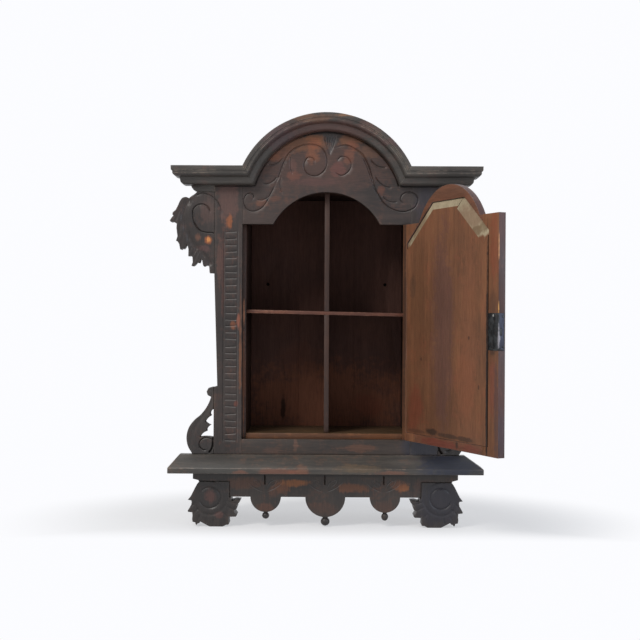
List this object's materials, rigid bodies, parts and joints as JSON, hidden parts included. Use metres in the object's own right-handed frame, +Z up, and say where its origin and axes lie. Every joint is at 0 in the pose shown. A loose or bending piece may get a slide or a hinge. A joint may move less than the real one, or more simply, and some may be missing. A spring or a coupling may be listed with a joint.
{
  "type": "wall cabinet",
  "caption": "Carved dark wood wall cabinet with an arched crown, a hinged arched door, an open divided case and a base with scroll feet.",
  "frame": {"origin": "midway between the two wall-screw holes, on the flat back that lies against the wall", "axes": "+X to the viewer's right when facing the cabinet, +Y from the front into the wall, +Z up"},
  "size_m": [0.6282, 0.5018, 0.8235],
  "materials": {
    "ebonised_wood": "dark stained, worn satin",
    "worn_wood": "dark stained, rubbed through to red-brown",
    "inner_wood": "stained, matt",
    "door_wood": "bare brown wood, matt",
    "iron": "blackened",
    "bright_nail": "bright, worn"
  },
  "bodies": {
    "cabinet": {"left_side": "inner_wood", "right_side": "inner_wood", "bottom_board": "inner_wood", "top_board": "inner_wood", "back_board_left": "inner_wood", "back_board_middle": "inner_wood", "back_board_right": "inner_wood", "back_nails": "iron", "shelf": "inner_wood", "partition": "inner_wood", "left_stile": "ebonised_wood", "right_stile": "ebonised_wood", "bottom_rail": "worn_wood", "frieze_board": "worn_wood", "cornice_left": "ebonised_wood", "cornice_right": "ebonised_wood", "cornice_crown": "ebonised_wood", "cornice_return_left": "ebonised_wood", "cornice_return_right": "ebonised_wood", "cornice_block_left": "ebonised_wood", "cornice_block_right": "ebonised_wood", "crown_glue_blocks": "inner_wood", "left_ear": "ebonised_wood", "right_ear": "ebonised_wood", "left_scroll": "ebonised_wood", "right_scroll": "ebonised_wood", "ledge": "worn_wood", "base_board": "inner_wood", "apron": "worn_wood", "left_foot": "ebonised_wood", "right_foot": "ebonised_wood", "left_side_apron": "ebonised_wood", "right_side_apron": "ebonised_wood", "left_drop": "ebonised_wood", "middle_drop": "ebonised_wood", "right_drop": "ebonised_wood", "upper_hinge_frame_leaf": "iron", "upper_hinge_pin": "iron", "lower_hinge_frame_leaf": "iron", "lower_hinge_pin": "iron", "hinge_frame_screws": "iron"},
    "door": {"door_hinge_stile": "door_wood", "door_lock_stile": "door_wood", "door_bottom_rail": "door_wood", "door_arch_rail": "door_wood", "door_panel": "door_wood", "upper_hinge_door_leaf": "iron", "lower_hinge_door_leaf": "iron", "hinge_door_screws": "iron", "lock_case": "iron", "lock_spring": "iron", "lock_nails": "bright_nail"},
    "lock_bolt": {"lock_bolt": "iron"}
  },
  "joints": [
    {"name": "door_hinge", "type": "hinge", "parent": "cabinet", "child": "door", "pos_m": [0.16775, -0.1933, 0], "axis": [0, 0, 1], "range_deg": [-116, 54]},
    {"name": "lock_bolt_slide", "type": "slide", "parent": "door", "child": "lock_bolt", "axis": [0.4384, -0.8988, 0], "range_m": [0, 0.009]}
  ]
}
